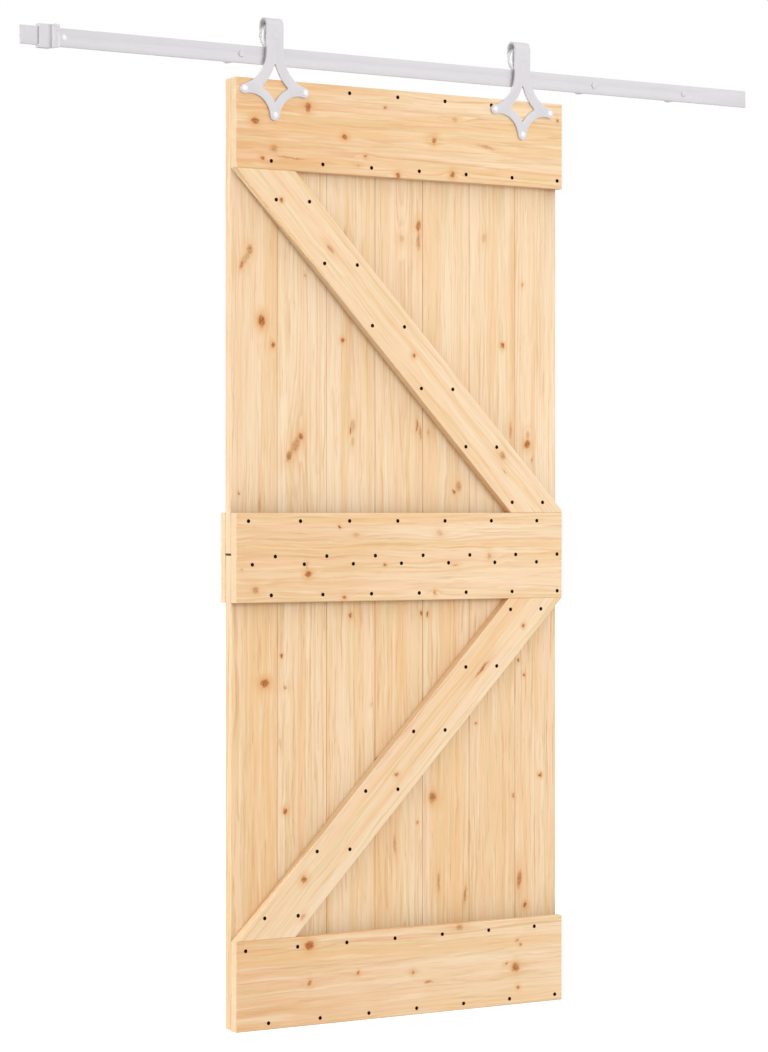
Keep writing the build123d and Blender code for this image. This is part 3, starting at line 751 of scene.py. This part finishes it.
def dress_running_gear(white, zinc, plastic, brassy):
    for side in SIDES:
        piece(f"hanger_{side}_strap", bent_strap(side), "door_leaf", (f"hanger_{side}",), white)
        low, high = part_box(f"wheel_{side}")
        x, z = (low.x + high.x) / 2, (low.z + high.z) / 2
        piece(f"wheel_{side}_nylon", turned(wheel_profile(low.y, high.y), x, z, 96), f"{side}_wheel",
              (f"wheel_{side}",), plastic)
        front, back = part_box(f"wheel_bush_{side}")[0].y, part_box(f"wheel_bush_{side}")[1].y
        bush = [(axle_radius + 0.00005, front + 0.0004), (axle_radius + 0.0005, front), (bush_radius - 0.0005, front),
                (bush_radius, front + 0.0005), (bush_radius, back - 0.0005), (bush_radius - 0.0005, back),
                (axle_radius + 0.0005, back), (axle_radius + 0.00005, back - 0.0004)]
        piece(f"wheel_bush_{side}_sleeve", turned(bush, x, z, 64), f"{side}_wheel",
              (f"wheel_bush_{side}",), brassy)
        low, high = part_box(f"axle_{side}")
        head = 0.0085
        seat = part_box(f"hanger_{side}")[0].y
        axle = [(0, low.y), (head - 0.0008, low.y), (head - 0.0003, low.y + 0.0001), (head, seat),
                (axle_radius, seat), (axle_radius, high.y - 0.0008), (axle_radius - 0.0008, high.y), (0, high.y)]
        piece(f"axle_{side}_pin", turned(axle, x, z, 64), "door_leaf", (f"axle_{side}",), white)
        for nut in (f"axle_nut_{side}", f"hanger_nuts_{side}"):
            piece(f"{nut}_hex", settled(solid_of(nut), rounded_edges(0.0006, 2, 40)), "door_leaf",
                  (nut,), zinc)


class Tree:
    """A Geometry Nodes tree built in code, with named inputs."""

    def __init__(self, name, inputs):
        self.group = bpy.data.node_groups.new(name, "GeometryNodeTree")
        self.group.interface.new_socket("Geometry", in_out="INPUT", socket_type="NodeSocketGeometry")
        self.keys = {}
        for label, value in inputs.items():
            kind = "NodeSocketInt" if isinstance(value, int) else "NodeSocketFloat"
            made = self.group.interface.new_socket(label, in_out="INPUT", socket_type=kind)
            made.default_value = value
            self.keys[label] = made.identifier
        self.group.interface.new_socket("Geometry", in_out="OUTPUT", socket_type="NodeSocketGeometry")
        self.start = self.group.nodes.new("NodeGroupInput")
        self.end = self.group.nodes.new("NodeGroupOutput")

    def given(self, label):
        return self.start.outputs[label]

    def node(self, kind, settings=None, sockets=None):
        made = self.group.nodes.new(kind)
        for setting, value in (settings or {}).items():
            setattr(made, setting, value)
        for socket, value in (sockets or {}).items():
            if isinstance(value, bpy.types.NodeSocket):
                self.group.links.new(value, made.inputs[socket])
            else:
                made.inputs[socket].default_value = value
        return made

    def math(self, operation, first, second):
        return self.node("ShaderNodeMath", {"operation": operation}, {0: first, 1: second}).outputs[0]

    def close(self, geometry, finish):
        real = self.node("GeometryNodeRealizeInstances", None, {"Geometry": geometry})
        painted = self.node("GeometryNodeSetMaterial", None, {"Geometry": real.outputs[0], "Material": finish})
        self.group.links.new(painted.outputs[0], self.end.inputs[0])

    def grown_on(self, points, values):
        """The tree's result on a list of points, as a plain mesh."""
        seeds = bpy.data.meshes.new("points")
        seeds.from_pydata(points, [], [])
        stand = bpy.data.objects.new("bench", seeds)
        bpy.context.scene.collection.objects.link(stand)
        tool = stand.modifiers.new("grow", "NODES")
        tool.node_group = self.group
        for label, value in values.items():
            tool[self.keys[label]] = value
        graph = bpy.context.evaluated_depsgraph_get()
        result = bpy.data.meshes.new_from_object(stand.evaluated_get(graph))
        bpy.data.objects.remove(stand)
        return result


def screw_head_tree(finish):
    """Flat countersunk heads with a six-lobed drive, one on each point, facing the front."""
    tree = Tree("wood screw heads", {"Head Radius": 0.0044, "Head Depth": 0.0016, "Drive Radius": 0.0019,
                                  "Drive Depth": 0.00015})
    radius, depth = tree.given("Head Radius"), tree.given("Head Depth")
    head = tree.node("GeometryNodeMeshCone", None, {"Vertices": 28, "Radius Top": radius, "Depth": depth,
                                                   "Radius Bottom": tree.math("MULTIPLY", radius, 0.62)})
    drive = tree.given("Drive Radius")
    star = tree.node("GeometryNodeCurveStar", None, {"Points": 6, "Outer Radius": drive,
                                                    "Inner Radius": tree.math("MULTIPLY", drive, 0.68)})
    floor = tree.node("GeometryNodeFillCurve", None, {"Curve": star.outputs[0]})
    pit = tree.node("GeometryNodeExtrudeMesh", None, {"Mesh": floor.outputs[0], "Offset Scale": depth})
    closed = tree.node("GeometryNodeJoinGeometry")
    tree.group.links.new(pit.outputs["Mesh"], closed.inputs[0])
    flipped = tree.node("GeometryNodeFlipFaces", None, {"Mesh": floor.outputs[0]})
    tree.group.links.new(flipped.outputs[0], closed.inputs[0])
    merged = tree.node("GeometryNodeMergeByDistance", None, {"Geometry": closed.outputs[0], "Distance": 1e-6})
    lifted = tree.node("GeometryNodeTransform", None, {"Geometry": merged.outputs[0]})
    lift = tree.node("ShaderNodeCombineXYZ", None, {"Z": tree.math("SUBTRACT", depth, tree.given("Drive Depth"))})
    tree.group.links.new(lift.outputs[0], lifted.inputs["Translation"])
    cut = tree.node("GeometryNodeMeshBoolean", {"operation": "DIFFERENCE", "solver": "EXACT"})
    tree.group.links.new(head.outputs[0], cut.inputs["Mesh 1"])
    tree.group.links.new(lifted.outputs[0], cut.inputs["Mesh 2"])
    spread = tree.node("GeometryNodeInstanceOnPoints", None, {
        "Points": tree.given("Geometry"), "Instance": cut.outputs[0], "Rotation": Euler((math.pi / 2, 0, 0))})
    turn = tree.node("FunctionNodeRandomValue", {"data_type": "FLOAT"}, {"Seed": 11})
    turn.inputs[3].default_value = math.pi
    spin = tree.node("ShaderNodeCombineXYZ", None, {"Z": turn.outputs[1]})
    turned_heads = tree.node("GeometryNodeRotateInstances", None, {"Instances": spread.outputs[0]})
    tree.group.links.new(spin.outputs[0], turned_heads.inputs["Rotation"])
    tree.close(turned_heads.outputs[0], finish)
    return tree


def dome_head_tree(finish):
    """Round bolt heads: a disc drawn up in steps to a dome, one on each point, facing the front."""
    tree = Tree("round bolt heads", {"Head Radius": 0.0072, "Head Height": 0.0036})
    radius, height = tree.given("Head Radius"), tree.given("Head Height")
    disc = tree.node("GeometryNodeMeshCircle", {"fill_type": "NGON"}, {"Vertices": 40, "Radius": radius})
    mesh = disc.outputs[0]
    selection = None
    steps = 8
    for step in range(steps):
        start, end = step / steps * math.pi / 2, (step + 1) / steps * math.pi / 2
        rise = math.sin(end) - math.sin(start)
        shrink = max(math.cos(end), 0.08) / math.cos(start)
        sockets = {"Mesh": mesh, "Offset Scale": tree.math("MULTIPLY", height, rise)}
        if selection is not None:
            sockets["Selection"] = selection
        drawn = tree.node("GeometryNodeExtrudeMesh", None, sockets)
        selection = drawn.outputs["Top"]
        narrowed = tree.node("GeometryNodeScaleElements", None, {
            "Geometry": drawn.outputs["Mesh"], "Selection": selection, "Scale": shrink})
        mesh = narrowed.outputs[0]
    spread = tree.node("GeometryNodeInstanceOnPoints", None, {
        "Points": tree.given("Geometry"), "Instance": mesh, "Rotation": Euler((math.pi / 2, 0, 0))})
    tree.close(spread.outputs[0], finish)
    return tree


def thread_tree(finish):
    """Lag-bolt threads: a sharp ridge wound along each bolt, from the wall inwards."""
    tree = Tree("lag bolt threads", {"Outer Radius": 0.004, "Depth": 0.0008, "Length": 0.036, "Turns": 11.0})
    outer, depth = tree.given("Outer Radius"), tree.given("Depth")
    winding = tree.math("SUBTRACT", outer, depth)
    coil = tree.node("GeometryNodeCurveSpiral", None, {
        "Resolution": 28, "Rotations": tree.given("Turns"), "Start Radius": winding, "End Radius": winding,
        "Height": tree.given("Length")})
    ridge = tree.node("GeometryNodeCurvePrimitiveCircle", {"mode": "RADIUS"}, {"Resolution": 4, "Radius": depth})
    swept = tree.node("GeometryNodeCurveToMesh", None, {
        "Curve": coil.outputs[0], "Profile Curve": ridge.outputs[0], "Fill Caps": True})
    spread = tree.node("GeometryNodeInstanceOnPoints", None, {
        "Points": tree.given("Geometry"), "Instance": swept.outputs[0], "Rotation": Euler((-math.pi / 2, 0, 0))})
    tree.close(spread.outputs[0], finish)
    return tree


def screw_places(node):
    """Middles of a group of screws, found from the corners of its solids."""
    mesh = solid_of(node)
    work = bmesh.new()
    work.from_mesh(mesh)
    left = set(work.verts)
    places = []
    while left:
        island = [left.pop()]
        for vert in island:
            for edge in vert.link_edges:
                other = edge.other_vert(vert)
                if other in left:
                    left.remove(other)
                    island.append(other)
        xs, ys, zs = zip(*(vert.co for vert in island))
        places.append(((min(xs) + max(xs)) / 2, min(ys), (min(zs) + max(zs)) / 2))
    work.free()
    bpy.data.meshes.remove(mesh)
    return sorted(places)


def dress_fasteners(white, highlight_white, zinc, black):
    heads = screw_head_tree(black)
    for group in SCREW_GROUPS:
        depth = 0.0016
        points = [(x, y + depth, z) for x, y, z in screw_places(group)]
        mesh = heads.grown_on(points, {"Head Radius": screw_head_radius, "Head Depth": depth})
        piece(f"{group}_heads", mesh, "door_leaf", (group,))
    # Round heads wear the white coat lightened as a painted highlight
    domes = dome_head_tree(highlight_white)
    for side in SIDES:
        node = f"hanger_bolts_{side}"
        places = screw_places(node)
        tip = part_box(node)[1].y
        seat = places[0][1] + hanger_head_height
        crowns = domes.grown_on([(x, seat, z) for x, _, z in places], {
            "Head Radius": hanger_head_radius, "Head Height": hanger_head_height})
        shanks = [turned([(0, seat), (0.004, seat), (0.004, tip - 0.0008), (0.0032, tip), (0, tip)], x, z, 32)
                  for x, _, z in places]
        piece(f"{node}_round", joined(crowns, *shanks), "door_leaf", (node,), highlight_white, 45)
    threads = thread_tree(zinc)
    for number, node in enumerate(BOLTS):
        low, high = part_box(node)
        x, z = (low.x + high.x) / 2, (low.z + high.z) / 2
        seat = track_low.y
        tip = high.y
        shank = [(0, seat), (0.0035, seat), (0.0035, 0), (thread_core, 0.0015), (thread_core, tip - 0.007),
                 (0.0004, tip), (0, tip)]
        wound = threads.grown_on([(x, 0.0015, z)], {"Outer Radius": thread_radius, "Depth": 0.0008,
                                                  "Length": 0.033, "Turns": 10.5})
        if number == 0:
            crown = domes.grown_on([(x, seat, z)], {"Head Radius": 0.0065, "Head Height": 0.003})
        else:
            crown = hex_head(x, z, seat, low.y)
        piece(f"{node}_head", crown, "fixed_track", (node,), highlight_white if number == 0 else white, 45)
        piece(f"{node}_thread", joined(turned(shank, x, z, 40), wound), "fixed_track", (), zinc)


def hex_head(x, z, seat, top):
    """A low hexagon head with its corners turned off at the front."""
    flats = 0.0065
    corner = flats / math.cos(math.pi / 6)
    work = bmesh.new()
    rows = [(1.0, seat), (1.0, top + 0.0009), (0.96, top + 0.0003), (0.92, top)]
    rings = []
    for share, y in rows:
        rings.append([work.verts.new((x + corner * share * math.cos(n * math.pi / 3), y,
                                      z + corner * share * math.sin(n * math.pi / 3))) for n in range(6)])
    for ring, after in zip(rings, rings[1:]):
        for n in range(6):
            work.faces.new((ring[n], ring[(n + 1) % 6], after[(n + 1) % 6], after[n]))
    work.faces.new(rings[0])
    work.faces.new(rings[-1])
    bmesh.ops.recalc_face_normals(work, faces=work.faces)
    mesh = bpy.data.meshes.new("hex")
    work.to_mesh(mesh)
    work.free()
    return settled(mesh, rounded_edges(0.0003, 2, 30))


def dress_track(white, pad, zinc):
    piece("track_bar", settled(solid_of("track"), rounded_edges(0.0003, 2, 40)), "fixed_track",
          ("track",), white)
    for number in range(1, 5):
        node = f"spacer_{number}"
        low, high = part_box(node)
        outer = (high.x - low.x) / 2
        x, z = (low.x + high.x) / 2, (low.z + high.z) / 2
        tube = [(spacer_wall_hole, low.y), (outer - 0.0006, low.y), (outer - 0.0002, low.y + 0.0002),
                (outer, low.y + 0.0006), (outer, high.y - 0.0006), (outer - 0.0002, high.y - 0.0002),
                (outer - 0.0006, high.y), (spacer_wall_hole, high.y)]
        piece(f"{node}_tube", turned(tube, x, z, 64), "fixed_track", (node,), white)
    piece("end_stop_clip", settled(solid_of("end_stop"), rounded_edges(0.0006, 3, 35)), "fixed_track",
          ("end_stop",), white)
    piece("stop_bumper_pad", settled(solid_of("stop_bumper"), rounded_edges(0.0012, 3, 35)), "fixed_track",
          ("stop_bumper",), pad)
    piece("stop_screw_grub", settled(solid_of("stop_screw"), rounded_edges(0.0004, 2, 40)), "fixed_track",
          ("stop_screw",), zinc)


def lamp(name, place, aim, size, power, spread=180):
    light = bpy.data.lights.new(name, "AREA")
    light.shape = "RECTANGLE"
    light.size, light.size_y = size
    light.energy = power
    light.spread = math.radians(spread)
    stand = bpy.data.objects.new(name, light)
    stand.location = place
    stand.visible_camera = False
    stand.rotation_euler = (Vector(aim) - Vector(place)).to_track_quat("-Z", "Y").to_euler()
    bpy.context.scene.collection.objects.link(stand)


def seen_directly(tree):
    """1 where the camera, a mirror or a pane looks straight at the backdrop, 0 for its light."""
    path = tree.nodes.new("ShaderNodeLightPath")
    total = None
    for name in ("Is Camera Ray", "Is Glossy Ray", "Is Transmission Ray"):
        if total is None:
            total = path.outputs[name]
            continue
        most = tree.nodes.new("ShaderNodeMath")
        most.operation = "MAXIMUM"
        tree.links.new(total, most.inputs[0])
        tree.links.new(path.outputs[name], most.inputs[1])
        total = most.outputs[0]
    return total


def light_studio():
    world = bpy.data.worlds.new("studio")
    bpy.context.scene.world = world
    world.use_nodes = True
    tree = world.node_tree
    backdrop = tree.nodes["Background"]
    backdrop.inputs["Color"].default_value = (1, 1, 1, 1)
    strength = tree.nodes.new("ShaderNodeMapRange")
    tree.links.new(seen_directly(tree), strength.inputs["Value"])
    strength.inputs["To Min"].default_value = 0.74
    strength.inputs["To Max"].default_value = 1.0
    tree.links.new(strength.outputs[0], backdrop.inputs["Strength"])
    middle = (0.43, 0, -1.1)
    lamp("high key", (1.6, -7, 0.3), middle, (4.6, 4.6), 230)
    lamp("back fill", (0.43, 7, 0.3), middle, (4.6, 4.6), 150)
    lamp("left beam", (-2.6, 0.22, -1.09), (-0.02, -0.04, -1.09), (1.2, 2.28), 3.9, 3)
    bpy.context.scene.view_settings.view_transform = "Standard"


def lay_floor():
    """A pale floor just under the door that reads white to the camera and keeps the shadow."""
    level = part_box("bottom_rail")[0].z - 0.04
    reach = 60
    mesh = bpy.data.meshes.new("floor")
    mesh.from_pydata([(x, y, level) for x, y in ((-reach, -reach), (reach, -reach), (reach, reach), (-reach, reach))],
                     [], [(0, 1, 2, 3)])
    floor = bpy.data.objects.new("floor", mesh)
    bpy.context.scene.collection.objects.link(floor)
    pale = Finish("pale floor")
    at = pale.place()
    grain = pale.noise(at, 40, 2)
    seen = Field(pale, seen_directly(pale.tree))
    pale.surface(Base_Color=pale.mix((0.42, 0.42, 0.42, 1), (0.4, 0.4, 0.4, 1), grain), Roughness=0.9,
                 Emission_Color=pale.mix((0, 0, 0, 1), (0.8, 0.8, 0.8, 1), seen), Emission_Strength=1)
    mesh.materials.append(pale.material)


def set_camera():
    view = bpy.data.cameras.new("view")
    view.sensor_fit = "AUTO"
    view.sensor_width = 36
    view.lens = focal_length / photo_height * 36
    view.shift_y = (horizon - photo_height / 2) / photo_height
    view.clip_end = 100
    stand = bpy.data.objects.new("view", view)
    stand.location = eye
    stand.rotation_euler = ahead.to_track_quat("-Z", "Y").to_euler()
    bpy.context.scene.collection.objects.link(stand)
    bpy.context.scene.camera = stand


white = powder_coat("white powder coat", 224, 0.52)
# The bolt heads' coat: the white coat lightened as a painted highlight for their shine, and glossier
highlight_white = powder_coat("white bolt paint lightened as highlight", 252, 0.3)
zinc = zinc_plate()
nylon = skin("white nylon", (tone(253, 253, 252), tone(242, 242, 240), (0.45, 0.75)), (60, 3), (1400, 2),
             (0.34, 0.14), 0.45, (0.00004, 0.4))
rubber = skin("soft pad", (tone(236, 235, 236), tone(222, 221, 222), (0.4, 0.7)), ((50, 50, 30), 3), (1500, 2),
              (0.68, 0.16), 0.3, (0.00008, 0.6))
dark_oxide = skin("black oxide", (tone(44, 20, 6), tone(66, 36, 16), (0.5, 0.75)), (700, 3), (700, 3),
                  (0.75, 0.2), 0.04, (0.00006, 0.5))
dress_leaf()
dress_running_gear(white, zinc, nylon, bronze())
dress_fasteners(white, highlight_white, zinc, dark_oxide)
dress_track(white, rubber, zinc)
light_studio()
lay_floor()
set_camera()
